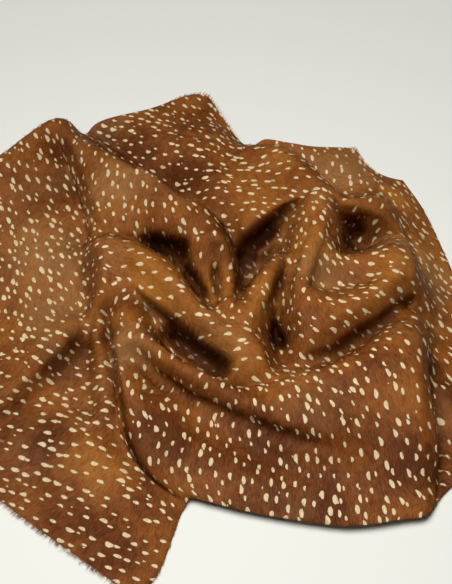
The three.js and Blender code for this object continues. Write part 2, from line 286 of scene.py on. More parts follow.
PATCHES = (
    Patch("back panel corner", Tint.DARK_AND_SHADE, 108, 134, 26 * MM),
    Patch("back panel left", Tint.DARK_AND_SHADE, 145, 150, 38 * MM),
    Patch("back panel middle", Tint.DARK_AND_SHADE, 185, 180, 30 * MM),
    Patch("left panel by the pleat", Tint.DARK_AND_SHADE, 78, 195, 22 * MM),
    Patch("left panel tip", Tint.DARK_AND_SHADE, 60, 150, 18 * MM),
    Patch("left panel foot", Tint.DARK_AND_SHADE, 84, 345, 18 * MM),
    Patch("step foot", Tint.DARK_AND_SHADE, 62, 368, 18 * MM),
    Patch("apron top", Tint.DARK_AND_SHADE, 335, 402, 20 * MM),
    Patch("apron shoulder", Tint.DARK_AND_SHADE, 128, 296, 14 * MM),
    Patch("apron middle", Tint.DARK_AND_SHADE, 250, 455, 44 * MM),
    Patch("apron front", Tint.DARK_AND_SHADE, 310, 500, 44 * MM),
    Patch("apron right", Tint.DARK_AND_SHADE, 395, 455, 30 * MM),
    Patch("right side foot", Tint.DARK_AND_SHADE, 440, 400, 26 * MM),
    Patch("flap left", Tint.DARK_AND_SHADE, 40, 440, 26 * MM),
    Patch("pocket", Tint.DARK_AND_SHADE, 362, 228, 16 * MM),
    Patch("flap front", Tint.DARK_AND_SHADE, 120, 535, 34 * MM),
    Patch("flap corner", Tint.DARK_AND_SHADE, 70, 520, 26 * MM),
    Patch("back panel tip", Tint.DARK_AND_SHADE, 205, 112, 18 * MM),
    Patch("apron left front", Tint.DARK_AND_SHADE, 150, 440, 30 * MM),
    Patch("pleat", Tint.GOLDEN_AND_LIT, 112, 190, 30 * MM),
    Patch("first roll", Tint.GOLDEN_AND_LIT, 150, 280, 34 * MM),
    Patch("second roll", Tint.GOLDEN_AND_LIT, 224, 290, 20 * MM),
    Patch("third roll", Tint.GOLDEN_AND_LIT, 262, 300, 20 * MM),
    Patch("fourth roll", Tint.GOLDEN_AND_LIT, 306, 240, 22 * MM),
    Patch("back panel right", Tint.GOLDEN_AND_LIT, 258, 182, 30 * MM),
    Patch("hood face", Tint.GOLDEN_AND_LIT, 385, 275, 20 * MM),
    Patch("first roll end", Tint.GOLDEN_AND_LIT, 232, 350, 24 * MM),
    Patch("flap middle", Tint.GOLDEN_AND_LIT, 90, 480, 30 * MM),
    Patch("left panel", Tint.PAINTED_SHEEN, 40, 250, 40 * MM),
    Patch("left panel low", Tint.PAINTED_SHEEN, 60, 308, 30 * MM),
    Patch("right panel", Tint.PAINTED_SHEEN, 345, 172, 28 * MM),
    Patch("pleat sheen", Tint.PAINTED_SHEEN, 118, 185, 26 * MM),
    Patch("right side", Tint.PAINTED_SHEEN, 425, 270, 34 * MM),
    Patch("hood left", Tint.PAINTED_SHEEN, 322, 272, 18 * MM),
    Patch("apron left", Tint.PAINTED_SHEEN, 122, 350, 18 * MM),
    Patch("hood rim", Tint.GOLDEN_AND_LIT, 410, 245, 22 * MM),
    Patch("right panel edge", Tint.GOLDEN_AND_LIT, 395, 200, 26 * MM),
    Patch("right side top", Tint.GOLDEN_AND_LIT, 430, 232, 26 * MM),
)

PRINT_LAYS = (
    Lay(20, 190, 62), Lay(40, 240, 60), Lay(60, 180, 60), Lay(30, 300, 72), Lay(70, 300, 60),
    Lay(60, 350, 40), Lay(30, 400, 25), Lay(60, 440, 18), Lay(110, 470, 15), Lay(80, 520, 25),
    Lay(140, 540, 18), Lay(100, 300, 2), Lay(102, 360, 8), Lay(106, 410, 12),
    Lay(84, 150, 95), Lay(112, 172, 92), Lay(140, 202, 88), Lay(160, 210, 80),
    Lay(120, 130, 5), Lay(160, 140, 6), Lay(190, 120, 35), Lay(215, 115, 50), Lay(190, 165, 12),
    Lay(225, 185, 15), Lay(250, 215, 5), Lay(255, 170, -5), Lay(280, 185, 0), Lay(310, 178, 20),
    Lay(300, 150, 70), Lay(340, 170, 85), Lay(370, 190, 62), Lay(400, 230, 62), Lay(425, 270, 65),
    Lay(440, 320, 60), Lay(440, 420, 60),
    Lay(110, 255, 5), Lay(130, 260, -15), Lay(160, 280, -18), Lay(185, 300, 10), Lay(210, 335, -25),
    Lay(240, 350, -15), Lay(195, 220, 60), Lay(205, 250, 95), Lay(228, 260, 110), Lay(230, 300, 120),
    Lay(268, 285, 70), Lay(262, 310, 75), Lay(300, 230, 75), Lay(310, 215, 80), Lay(295, 290, 95),
    Lay(345, 225, -55), Lay(365, 230, -60), Lay(325, 280, 55), Lay(350, 270, 40), Lay(385, 270, 8),
    Lay(400, 260, 25), Lay(370, 305, 18), Lay(330, 320, 28), Lay(405, 290, 30),
    Lay(118, 290, 115), Lay(150, 330, 110), Lay(140, 390, 112), Lay(160, 440, 105), Lay(200, 400, 100),
    Lay(220, 450, 95), Lay(260, 480, 92), Lay(310, 480, 90), Lay(360, 480, 80), Lay(400, 470, 68),
    Lay(300, 420, 75), Lay(340, 400, 55), Lay(280, 385, 55), Lay(390, 380, 62), Lay(410, 340, 55),
    Lay(410, 430, 72),
)

COMB_LAYS = (
    Lay(20, 190, 130), Lay(50, 240, 120), Lay(70, 320, 125), Lay(40, 420, 140), Lay(60, 480, 142),
    Lay(120, 500, 118), Lay(150, 540, 100), Lay(100, 340, 165),
    Lay(110, 170, 120), Lay(150, 205, 115), Lay(160, 130, 60), Lay(205, 110, -60), Lay(200, 170, 40),
    Lay(260, 170, 35), Lay(310, 160, 70), Lay(362, 164, -40), Lay(385, 180, 45), Lay(404, 190, 60),
    Lay(420, 214, 66), Lay(400, 220, 60), Lay(435, 300, 68), Lay(440, 250, 68),
    Lay(120, 260, 30), Lay(165, 285, 40), Lay(210, 335, 35), Lay(205, 240, 95), Lay(228, 290, 100),
    Lay(265, 300, 110), Lay(300, 250, 105), Lay(355, 230, 80), Lay(330, 290, 45), Lay(390, 270, 30),
    Lay(130, 340, 105), Lay(160, 430, 100), Lay(220, 470, 95), Lay(300, 480, 92), Lay(380, 470, 80),
    Lay(300, 400, 70), Lay(390, 380, 65), Lay(440, 430, 60),
)


def placed(name: str, data: bpy.types.ID) -> bpy.types.Object:
    """Puts a mesh, a light or a camera into the scene under a name."""
    holder = bpy.data.objects.new(name, data)
    bpy.context.scene.collection.objects.link(holder)
    return holder


def quads(number: np.ndarray) -> np.ndarray:
    """Corners of every cell of a grid of point numbers, going round the cell."""
    around = number[:-1, :-1], number[:-1, 1:], number[1:, 1:], number[1:, :-1]
    return np.stack(around, -1).reshape(-1, 4)


def spline_weights(count: int, finer: int) -> np.ndarray:
    """Weights of a cubic spline that runs smoothly by a row of points.

    Args:
        count: Points in the row.
        finer: Steps between one point and the next.

    Returns:
        A matrix that turns the row into its finer one.
    """
    carried = np.zeros((count + 2, count))
    carried[1:-1] = np.eye(count)
    carried[0, :2] = (2.0, -1.0)
    carried[-1, -2:] = (-1.0, 2.0)
    place = np.arange((count - 1) * finer + 1) / finer
    first = np.minimum(place.astype(int), count - 2)
    part = place - first
    basis = np.stack(
        (
            (1.0 - part) ** 3,
            3.0 * part**3 - 6.0 * part**2 + 4.0,
            -3.0 * part**3 + 3.0 * part**2 + 3.0 * part + 1.0,
            part**3,
        ),
        axis=1,
    )
    weights = np.zeros((len(place), count + 2))
    for step in range(4):
        weights[np.arange(len(place)), first + step] = basis[:, step] / 6.0
    return weights @ carried


def unit(vectors: np.ndarray) -> np.ndarray:
    """Vectors of length one along the last axis."""
    return vectors / np.maximum(np.linalg.norm(vectors, axis=-1, keepdims=True), TINY)


def eased(rows: np.ndarray) -> np.ndarray:
    """A grid with each inner point moved to the mean of itself and its neighbours, both ways."""
    for axis in range(2):
        rows = np.moveaxis(rows, axis, 0).copy()
        rows[1:-1] = 0.25 * rows[:-2] + 0.5 * rows[1:-1] + 0.25 * rows[2:]
        rows = np.moveaxis(rows, 0, axis)
    return rows


def add_floats(mesh: bpy.types.Mesh, name: str, values: np.ndarray) -> None:
    """Stores one number or vector for each point of a mesh.

    Args:
        mesh: The mesh.
        name: Name that the material reads.
        values: One row for each point.
    """
    vector = values.ndim == 2
    layer = mesh.attributes.new(name, "FLOAT_VECTOR" if vector else "FLOAT", "POINT")
    layer.data.foreach_set("vector" if vector else "value", np.ascontiguousarray(values, np.float32).ravel())


def add_map(mesh: bpy.types.Mesh, name: str, corners: np.ndarray) -> None:
    """Adds a flat map to a mesh.

    Args:
        mesh: The mesh.
        name: Name of the map.
        corners: Two numbers for each corner of each face.
    """
    layer = mesh.uv_layers.new(name=name, do_init=False)
    layer.uv.foreach_set("vector", np.ascontiguousarray(corners, np.float32).ravel())


def mesh_from(name: str, points: np.ndarray, loops: np.ndarray, sizes: np.ndarray) -> bpy.types.Mesh:
    """Makes a mesh from arrays.

    Args:
        name: Name of the mesh.
        points: Its points, in metres.
        loops: The points of its faces, one face after another.
        sizes: How many points each face has.

    Returns:
        The mesh, shaded smooth.
    """
    mesh = bpy.data.meshes.new(name)
    mesh.vertices.add(len(points))
    mesh.vertices.foreach_set("co", np.ascontiguousarray(points, np.float32).ravel())
    mesh.loops.add(len(loops))
    mesh.loops.foreach_set("vertex_index", loops.astype(np.int32))
    mesh.polygons.add(len(sizes))
    starts = np.concatenate(([0], np.cumsum(sizes)[:-1])).astype(np.int32)
    mesh.polygons.foreach_set("loop_start", starts)
    mesh.polygons.foreach_set("use_smooth", np.ones(len(sizes), bool))
    mesh.update(calc_edges=True)
    return mesh


class SolidFolds:
    """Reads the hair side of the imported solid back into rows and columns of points."""

    WELD = 1e-6
    RIM = 1.02

    def __init__(self, node: bpy.types.Object, thickness: float) -> None:
        """Reads the solid.

        Args:
            node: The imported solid.
            thickness: Its thickness, which is the height of its rim.
        """
        mesh = node.data
        points = np.empty(len(mesh.vertices) * 3)
        mesh.vertices.foreach_get("co", points)
        corners = np.empty(len(mesh.loops), np.int32)
        mesh.loops.foreach_get("vertex_index", corners)
        points = points.reshape(-1, 3)
        _, first, same = np.unique(
            np.round(points / self.WELD).astype(np.int64), axis=0, return_index=True, return_inverse=True
        )
        self.points = points[first]
        self.triangles = same.ravel()[corners].reshape(-1, 3)
        self.thickness = thickness

    def hair_side(self) -> np.ndarray:
        """Triangles of the hair side.

        Returns:
            Three point numbers for each triangle.
        """
        ends = self.points[self.triangles]
        lengths = np.linalg.norm(ends - np.roll(ends, -1, axis=1), axis=2)
        faces = self.triangles[lengths.min(axis=1) > self.RIM * self.thickness]
        label = np.arange(len(self.points))
        while True:
            lowest = label[faces].min(axis=1)
            spread = label.copy()
            np.minimum.at(spread, faces.ravel(), np.repeat(lowest, 3))
            if np.array_equal(spread, label):
                break
            label = spread
        sides = np.unique(label[faces[:, 0]])
        heights = [self.points[label == side, 2].mean() for side in sides]
        return faces[label[faces[:, 0]] == sides[int(np.argmax(heights))]]

    def rows(self) -> np.ndarray:
        """Walks the hair side row by row, from the front edge to the back.

        Returns:
            The points, rows by columns by three.
        """
        faces = self.hair_side()
        far = {}
        for a, b, c in faces.tolist():
            far[a, b] = c
            far[b, c] = a
            far[c, a] = b
        uses = np.bincount(faces.ravel(), minlength=len(self.points))
        onward = {a: b for a, b in far if (b, a) not in far}
        ends = sorted((a for a in onward if uses[a] == 1), key=lambda a: self.points[a, 1])
        walk = [ends[-1]]
        while walk[-1] != ends[0]:
            walk.append(onward[walk[-1]])
        turn = next(i for i, a in enumerate(walk) if uses[a] == 2)
        left = walk[: turn + 1][::-1]
        row = walk[turn:]
        grid = [row]
        for start in left[1:]:
            row = [start] + [far[a, b] for a, b in zip(row, row[1:])]
            grid.append(row)
        return self.points[np.array(grid)]


@dataclass
class Leather:
    """The leather sheet: the solid's folds, drawn finer, with its creases and its flat cut."""

    sight: Sight
    thickness: float = 2.0 * MM
    finer: int = 4
    least_height: float = 1.6 * MM
    fold_reach: int = 9
    fold_gain: float = 0.35
    spline_gain: float = 0.5
    # Depth of pressing at which the painted shade of the folds is full.
    hollow_depth: float = 22.0 * MM
    steepness: float = 3.0
    lip_steps: float = 1.2
    line_samples: int = 8
    taper: float = 4.0
    lay_span: float = 2.0
    lay_reach: float = 12.0 * MM
    lay_falloff: float = 1.5
    least_cell: float = 1e-7
    least_flesh: float = 0.1 * MM
    stretch_limits: tuple[float, float] = (0.6, 1.7)
    stretch_easing: int = 6
    flatten_passes: int = 5000
    flatten_pull: float = 0.2
    hair_chart: float = 0.62
    flesh_chart: float = 0.34
    chart_gap: float = 0.01

    def shape(self) -> None:
        """Draws the finer hair side, creases it and lays it out flat."""
        rows = SolidFolds(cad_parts[NODE], self.thickness).rows()
        self.weights = spline_weights(len(rows), self.finer), spline_weights(len(rows[0]), self.finer)
        self.hair = self.refined(self.deepened(rows))
        self.flat = self.refined(self.laid_flat(self.refined(rows)[:: self.finer, :: self.finer]))
        # The creases are pressed in, and how deep each point lies sets the painted shade of the folds.
        self.hollow = self.press_all()
        self.hair[..., 2] = np.maximum(self.hair[..., 2], self.least_height)
        self.facing = self.normals()
        self.print_lay = self.true_lay(self.lay_field(PRINT_LAYS))
        self.comb = self.lay_field(COMB_LAYS)
        # Painted shade, painted light and painted sheen, by patch.
        self.tint = self.tint_field()

    def refined(self, rows: np.ndarray) -> np.ndarray:
        """A grid of points drawn finer by a smooth spline both ways."""
        return np.einsum("ar,rcx,bc->abx", self.weights[0], rows, self.weights[1])

    def deepened(self, rows: np.ndarray) -> np.ndarray:
        """Strengthens the folds of the solid, which the spline would soften.

        Args:
            rows: Points of the solid, rows by columns.

        Returns:
            The points that steer the spline.
        """
        broad = rows.copy()
        for _ in range(self.fold_reach):
            broad = eased(broad)
        steered = rows + self.fold_gain * (rows - broad)
        return steered + self.spline_gain * (steered - eased(steered))

    def normals(self) -> np.ndarray:
        """Unit directions out of the hair side at each point."""
        return unit(np.cross(np.gradient(self.hair, axis=1), np.gradient(self.hair, axis=0)))

    def tree(self) -> tuple[BVHTree, np.ndarray]:
        """A search tree of the hair side, and the point numbers of its triangles."""
        high, wide = self.hair.shape[:2]
        cells = quads(np.arange(high * wide).reshape(high, wide))
        faces = np.concatenate((cells[:, (0, 1, 2)], cells[:, (0, 2, 3)]))
        return BVHTree.FromPolygons(self.hair.reshape(-1, 3).tolist(), faces.tolist()), faces

    def crease_line(self, tree: BVHTree, crease: Crease) -> CreaseLine:
        """Finds where a crease runs on the hair side.

        Args:
            tree: Search tree of the hair side.
            crease: The crease, with its place in the picture.

        Returns:
            The line that it runs along.
        """
        steps = np.array(crease.steps, float)
        share = np.linspace(0.0, len(steps) - 1.0, self.line_samples * len(steps))
        line = np.stack([np.interp(share, np.arange(len(steps)), steps[:, axis]) for axis in range(2)], 1)
        found = []
        for (across, down), along in zip(line, share / share[-1]):
            place, *_ = tree.ray_cast(self.sight.eye, self.sight.ray(across, down))
            if place is not None:
                end = min(along, 1.0 - along)
                found.append((*place, min(1.0, self.taper * end), across, down))
        places, shares, seen = np.split(np.array(found), (3, 4), axis=1)
        return CreaseLine(places, shares[:, 0], seen)

    def press_all(self) -> np.ndarray:
        """Presses every crease into the hair side.

        Returns:
            How far down in a fold each point is pressed: 0 on open hide and 1 deep in a hollow. It sets the
            painted shade of the folds.
        """
        tree, _ = self.tree()
        lines = [self.crease_line(tree, crease) for crease in CREASES]
        away = unit(self.hair - np.array(self.sight.eye))
        inward = -self.normals()
        moved = np.zeros_like(self.hair)
        sunk = np.zeros(self.hair.shape[:2])
        seen = self.sight.steps(self.hair)
        for crease, line in zip(CREASES, lines):
            gaps = np.linalg.norm(self.hair[..., None, :] - line.places, axis=-1)
            nearest = gaps.argmin(axis=-1)
            gap = np.take_along_axis(gaps, nearest[..., None], -1)[..., 0]
            push = crease.depth * np.exp(-0.5 * (gap / crease.width) ** self.steepness) * line.shares[nearest]
            if crease.press is Press.UNDER:
                way = unit(np.gradient(line.steps, axis=0))[nearest]
                off = seen - line.steps[nearest]
                left = way[..., 1] * off[..., 0] - way[..., 0] * off[..., 1]
                push = push * (0.5 + 0.5 * np.tanh(left / self.lip_steps))
            moved += (inward if crease.press is Press.INWARD else away) * push[..., None]
            sunk = np.maximum(sunk, push)
        self.hair = self.hair + moved
        return np.clip(sunk / self.hollow_depth, 0.0, 1.0)[..., None]

    def laid_flat(self, rows: np.ndarray) -> np.ndarray:
        """Lays the sheet out flat, keeping the length of every mesh line and diagonal as nearly as it can.

        Args:
            rows: The draped points, rows by columns.

        Returns:
            The flat points, rows by columns by two, about the middle of the sheet.
        """
        across = np.linalg.norm(np.diff(rows, axis=1), axis=2).cumsum(axis=1)
        back = np.linalg.norm(np.diff(rows, axis=0), axis=2).cumsum(axis=0)
        flat = np.zeros((*rows.shape[:2], 2))
        flat[:, 1:, 0] = across
        flat[1:, :, 1] = back
        middle = flat.shape[0] // 2, flat.shape[1] // 2
        flat[..., 0] -= flat[:, middle[1], 0][:, None]
        flat[..., 1] -= flat[middle[0], :, 1][None, :]
        keep = slice(None)
        ties = (
            ((keep, slice(1, None)), (keep, slice(None, -1))),
            ((slice(1, None), keep), (slice(None, -1), keep)),
            ((slice(1, None), slice(1, None)), (slice(None, -1), slice(None, -1))),
            ((slice(1, None), slice(None, -1)), (slice(None, -1), slice(1, None))),
        )
        rest = [np.linalg.norm(rows[a] - rows[b], axis=-1) for a, b in ties]
        for _ in range(self.flatten_passes):
            for (a, b), length in zip(ties, rest):
                gap = flat[a] - flat[b]
                now = np.linalg.norm(gap, axis=-1)
                pull = gap * (self.flatten_pull * (length - now) / np.maximum(now, TINY))[..., None]
                move = np.zeros_like(flat)
                move[a] += pull
                move[b] -= pull
                flat += move
        return flat - flat.mean(axis=(0, 1))

    def flat_at(self, tree: BVHTree, faces: np.ndarray, across: float, down: float) -> np.ndarray | None:
        """Finds the place on the flat cut that is seen at a step of the picture.

        Args:
            tree: Search tree of the hair side.
            faces: Point numbers of its triangles.
            across: Steps from the picture's left edge.
            down: Steps from the picture's top edge.

        Returns:
            The flat place, or nothing where the hide is not seen.
        """
        place, _, face, _ = tree.ray_cast(self.sight.eye, self.sight.ray(across, down))
        if place is None:
            return None
        corner = faces[face]
        corners = np.vstack((self.hair.reshape(-1, 3)[corner].T, np.ones(3)))
        share, *_ = np.linalg.lstsq(corners, np.append(np.array(place), 1.0), rcond=None)
        return share @ self.flat.reshape(-1, 2)[corner]

    def tint_field(self) -> np.ndarray:
        """How strongly each tint shows at each point, from 0 to 1: painted shade, painted light and painted
        sheen, partly the coat's own colour.
        """
        tree, faces = self.tree()
        tints = np.zeros((*self.flat.shape[:2], len(Tint)))
        for patch in PATCHES:
            middle = self.flat_at(tree, faces, patch.across, patch.down)
            if middle is not None:
                gap = np.linalg.norm(self.flat - middle, axis=-1)
                shown = np.exp(-0.5 * (gap / patch.reach) ** 2)
                tints[..., patch.tint.value] = np.maximum(tints[..., patch.tint.value], shown)
        return tints

    def lay_field(self, lays: Sequence[Lay]) -> np.ndarray:
        """Spreads the way that the hair or print runs over the flat sheet.

        Args:
            lays: Places in the picture with their directions.

        Returns:
            A unit direction in the flat sheet at each of its points.
        """
        tree, faces = self.tree()
        flat = self.flat.reshape(-1, 2)
        places, ways = [], []
        for lay in lays:
            turn = math.radians(lay.turn)
            aside, below = self.lay_span * math.cos(turn), self.lay_span * math.sin(turn)
            start = self.flat_at(tree, faces, lay.across - aside, lay.down - below)
            end = self.flat_at(tree, faces, lay.across + aside, lay.down + below)
            if start is not None and end is not None:
                places.append((start + end) / 2.0)
                ways.append(unit(end - start))
        gaps = np.linalg.norm(flat[:, None] - np.array(places), axis=2)
        weight = 1.0 / (gaps**2 + self.lay_reach**2) ** self.lay_falloff
        return unit(weight @ np.array(ways)).reshape(self.flat.shape)

    def true_lay(self, lay: np.ndarray) -> np.ndarray:
        """Scales the lay of the print, so that a spot has its true size on the folds and not on the flat cut.

        Args:
            lay: A unit direction in the flat sheet at each of its points.

        Returns:
            The lay times the stretch along it, with the stretch across it over that along it as a third part.
        """
        run_r, run_c = (np.gradient(self.flat, axis=axis) for axis in range(2))
        fold_r, fold_c = (np.gradient(self.hair, axis=axis) for axis in range(2))
        spread = np.maximum(np.abs(np.cross(run_r, run_c)), self.least_cell)
        stretches = []
        for way in (lay, np.stack((-lay[..., 1], lay[..., 0]), -1)):
            fold = np.cross(way, run_c)[..., None] * fold_r + np.cross(run_r, way)[..., None] * fold_c
            stretch = np.clip(np.linalg.norm(fold, axis=-1) / spread, *self.stretch_limits)
            for _ in range(self.stretch_easing):
                stretch = eased(stretch)
            stretches.append(stretch[..., None])
        return np.concatenate((lay * stretches[0], stretches[1] / stretches[0]), -1)

    def cell_areas(self) -> np.ndarray:
        """Area of every cell of the hair side, rows by columns."""
        edge_a = np.diff(self.hair, axis=1)[:-1]
        edge_b = np.diff(self.hair, axis=0)[:, :-1]
        return np.linalg.norm(np.cross(edge_a, edge_b), axis=-1)

    def flat_size(self) -> Triple:
        """Width and length of the flat cut in metres, and area of the hair side in square metres."""
        width, length = np.ptp(self.flat.reshape(-1, 2), axis=0)
        return float(width), float(length), float(self.cell_areas().sum())

    def chart(self, share: float) -> np.ndarray:
        """Flat points scaled into a square whose side is share."""
        flat = self.flat - self.flat.min(axis=(0, 1))
        return flat / flat.max() * share

    def build(self) -> bpy.types.Object:
        """Makes the sheet with its hair side, flesh side and cut edge.

        Returns:
            The leather.
        """
        high, wide = self.hair.shape[:2]
        flesh = self.hair - self.facing * self.thickness
        flesh[..., 2] = np.maximum(flesh[..., 2], self.least_flesh)
        points = np.concatenate((self.hair.reshape(-1, 3), flesh.reshape(-1, 3)))
        top = np.arange(high * wide).reshape(high, wide)
        low = top + high * wide
        upper = quads(top)
        under = quads(low)[:, (0, 3, 2, 1)]
        loop = np.concatenate((top[0, :-1], top[:-1, -1], top[-1, :0:-1], top[:0:-1, 0]))
        onward = np.roll(loop, -1)
        rim = np.stack((loop + high * wide, onward + high * wide, onward, loop), -1)
        faces = np.concatenate((upper, under, rim))
        mesh = mesh_from("leather", points, faces.ravel(), np.full(len(faces), 4))
        counts = [len(upper), len(under), len(rim)]
        finishes = np.repeat([side.value for side in Side], counts)
        mesh.polygons.foreach_set("material_index", finishes.astype(np.int32))
        flat = np.tile(self.flat.reshape(-1, 2), (2, 1))
        add_map(mesh, BAKE_MAP, self.bake_corners(upper, under, rim))
        add_map(mesh, FLAT_MAP, flat[faces].reshape(-1, 2))
        add_floats(mesh, PRINT, np.tile(self.print_lay.reshape(-1, 3), (2, 1)))
        # The hollow and the tint carry the painted shade of the folds and the painted shade, light and sheen
        # of the patches.
        add_floats(mesh, HOLLOW, np.tile(self.hollow.ravel(), 2))
        add_floats(mesh, TINT, np.tile(self.tint.reshape(-1, 3), (2, 1)))
        return placed("leather", mesh)

    def bake_corners(self, upper: np.ndarray, under: np.ndarray, rim: np.ndarray) -> np.ndarray:
        """Places the three finishes side by side on one map.

        Args:
            upper: Faces of the hair side.
            under: Faces of the flesh side.
            rim: Faces of the cut edge.

        Returns:
            Two numbers for each corner of each face.
        """
        gap = self.chart_gap
        hair = self.chart(self.hair_chart).reshape(-1, 2) + gap
        flesh = self.chart(self.flesh_chart).reshape(-1, 2) + (2.0 * gap + self.hair_chart, gap)
        ends = gap + (1.0 - 2.0 * gap) * np.arange(len(rim) + 1) / len(rim)
        left, right = ends[:-1], ends[1:]
        level = np.full(len(rim), 2.0 * gap + self.hair_chart)
        top = level + 2.0 * gap
        strip = np.stack((left, level, right, level, right, top, left, top), -1).reshape(-1, 2)
        return np.concatenate((hair[upper].reshape(-1, 2), flesh[under - len(hair)].reshape(-1, 2), strip))


@dataclass
class HairCoat:
    """One layer of the short hair that covers the leather, as a mesh of tapered blades."""

    POINTS = 5
    FACES = (0, 1, 2, 3), (3, 2, 4)

    leather: Leather
    name: str
    seed: int
    hairs: int = 66000
    length: tuple[float, float] = (5.5 * MM, 9.0 * MM)
    width: tuple[float, float] = (0.35 * MM, 0.60 * MM)
    lift: tuple[float, float] = (0.15 * MM, 0.60 * MM)
    stray_share: float = 0.05
    stray_lift: tuple[float, float] = (1.0 * MM, 3.0 * MM)
    wander: float = math.radians(7.0)
    roll: float = math.radians(15.0)
    least_height: float = 0.2 * MM
    bend_share: float = 0.55
    bend_width: float = 0.8
    rise: Triple = (-0.15, 0.75, 1.0)
    longest_run: float = 6.0
    run_passes: int = 2
    apron_left: float = -0.01
    apron_overhang: float = 0.12

    def sample(self, grid: np.ndarray, row: np.ndarray, column: np.ndarray) -> np.ndarray:
        """Reads a grid between its points, and on past its edge.

        Args:
            grid: Values, rows by columns by parts.
            row: Places along the rows' count.
            column: Places along the columns' count.

        Returns:
            One row of values for each place.
        """
        r = np.clip(np.floor(row).astype(int), 0, grid.shape[0] - 2)
        c = np.clip(np.floor(column).astype(int), 0, grid.shape[1] - 2)
        fr, fc = (row - r)[:, None], (column - c)[:, None]
        near = grid[r, c] * (1 - fc) + grid[r, c + 1] * fc
        far = grid[r + 1, c] * (1 - fc) + grid[r + 1, c + 1] * fc
        return near * (1 - fr) + far * fr

    def roots(self, draw: np.random.Generator) -> tuple[np.ndarray, np.ndarray]:
        """Spreads the roots evenly over the hair side.

        Args:
            draw: Source of random numbers.

        Returns:
            The row and column place of each root.
        """
        area = self.leather.cell_areas()
        total = area.ravel().cumsum()
        cell = np.searchsorted(total, draw.random(self.hairs) * total[-1])
        row, column = np.divmod(np.minimum(cell, area.size - 1), area.shape[1])
        return row + draw.random(self.hairs), column + draw.random(self.hairs)

    def between(self, draw: np.random.Generator, limits: tuple[float, float]) -> np.ndarray:
        """Draws one size between two limits for each hair."""
        return draw.uniform(*limits, self.hairs)

    def steps(
        self, row: np.ndarray, column: np.ndarray, way: np.ndarray, length: np.ndarray
    ) -> tuple[np.ndarray, np.ndarray]:
        """Finds how far each hair runs over the mesh lines.

        Args:
            row: Row place of each root.
            column: Column place of each root.
            way: Direction of each hair on the flat cut.
            length: Length of each hair.

        Returns:
            The run along the rows' count and along the columns' count.
        """
        leather = self.leather
        run_r = self.sample(np.gradient(leather.flat, axis=0), row, column)
        run_c = self.sample(np.gradient(leather.flat, axis=1), row, column)
        spread = np.maximum(np.cross(run_r, run_c), leather.least_cell)
        run = np.stack((np.cross(way, run_c), np.cross(run_r, way))) / spread * -length
        run *= np.minimum(1.0, self.longest_run / np.maximum(np.abs(run).max(axis=0), TINY))
        root = self.sample(leather.hair, row, column)
        for _ in range(self.run_passes):
            tip = self.sample(leather.hair, row + run[0], column + run[1])
            reach = np.linalg.norm(tip - root, axis=1)
            run *= np.minimum(1.0, length / np.maximum(reach, TINY))
        over = (root[:, 0] > self.apron_left) & (row + run[0] < -self.apron_overhang)
        keep = (row + self.apron_overhang) / np.maximum(-run[0], TINY)
        run *= np.where(over, keep, 1.0)
        return run[0], run[1]

    def blades(self, spine: np.ndarray, half: np.ndarray) -> np.ndarray:
        """Draws every blade: two points at its root, two at its bend and one at its tip.

        Args:
            spine: Three places along each hair.
            half: Half of the hair's width at its root and its bend, as a vector across it.

        Returns:
            The points of each blade.
        """
        bend = self.bend_width * half[:, 1]
        corners = (
            spine[:, 0] - half[:, 0],
            spine[:, 0] + half[:, 0],
            spine[:, 1] + bend,
            spine[:, 1] - bend,
            spine[:, 2],
        )
        return np.stack(corners, 1)

    def build(self) -> bpy.types.Object:
        """Grows the hairs along the comb and joins them in one mesh.

        Returns:
            The layer of hair.
        """
        draw = np.random.default_rng(self.seed)
        leather = self.leather
        row, column = self.roots(draw)
        length = self.between(draw, self.length)
        width = self.between(draw, self.width)
        lift = self.between(draw, self.lift)
        stray = draw.random(self.hairs) < self.stray_share
        lift = np.where(stray, self.between(draw, self.stray_lift), lift)
        lean = draw.normal(0.0, self.wander, self.hairs)
        roll = draw.normal(0.0, self.roll, self.hairs)
        comb = unit(self.sample(leather.comb, row, column))
        turned = np.stack((-comb[:, 1], comb[:, 0]), 1)
        way = comb * np.cos(lean)[:, None] + turned * np.sin(lean)[:, None]
        step_r, step_c = self.steps(row, column, way, length)
        at = [(row + step_r * share, column + step_c * share) for share in (0.0, self.bend_share, 1.0)]
        spine, facing, flat = (
            np.stack([self.sample(grid, *place) for place in at], 1)
            for grid in (leather.hair, leather.facing, leather.flat)
        )
        facing = unit(facing)
        spine = spine + facing * (lift[:, None] * np.array(self.rise))[..., None]
        run = unit(np.gradient(spine, axis=1))
        side = unit(np.cross(run, facing))
        side = side * np.cos(roll)[:, None, None] + np.cross(run, side) * np.sin(roll)[:, None, None]
        half = (0.5 * width)[:, None, None] * side
        points = self.blades(spine, half)
        points[..., 2] = np.maximum(points[..., 2], self.least_height)
        edge = (0.5 * width)[:, None] * np.stack((-way[:, 1], way[:, 0]), 1)
        maps = self.blades(flat, np.stack((edge, edge), 1)).reshape(-1, 2)
        blade = np.concatenate(self.FACES)
        loops = (np.arange(self.hairs)[:, None] * self.POINTS + blade).ravel()
        sizes = [len(face) for face in self.FACES]
        mesh = mesh_from(self.name, points.reshape(-1, 3), loops, np.tile(sizes, self.hairs))
        low = leather.flat.min(axis=(0, 1)) - self.length[1]
        size = np.ptp(leather.flat.reshape(-1, 2), axis=0).max() + 2.0 * self.length[1]
        add_map(mesh, BAKE_MAP, ((maps - low) / size)[loops])
        add_map(mesh, FLAT_MAP, maps[loops])
        # The hollow and the tint carry the painted shade of the folds and the painted shade, light and sheen
        # of the patches onto the hairs.
        stored = {
            PRINT: self.sample(leather.print_lay, row, column),
            HOLLOW: self.sample(leather.hollow, row, column)[:, 0],
            TINT: self.sample(leather.tint, row, column),
            TONE: draw.random(self.hairs),
        }
        for name, values in stored.items():
            add_floats(mesh, name, np.repeat(values, self.POINTS, axis=0))
        add_floats(mesh, REACH, np.tile((0.0, 0.0, self.bend_share, self.bend_share, 1.0), self.hairs))
        return placed(self.name, mesh)


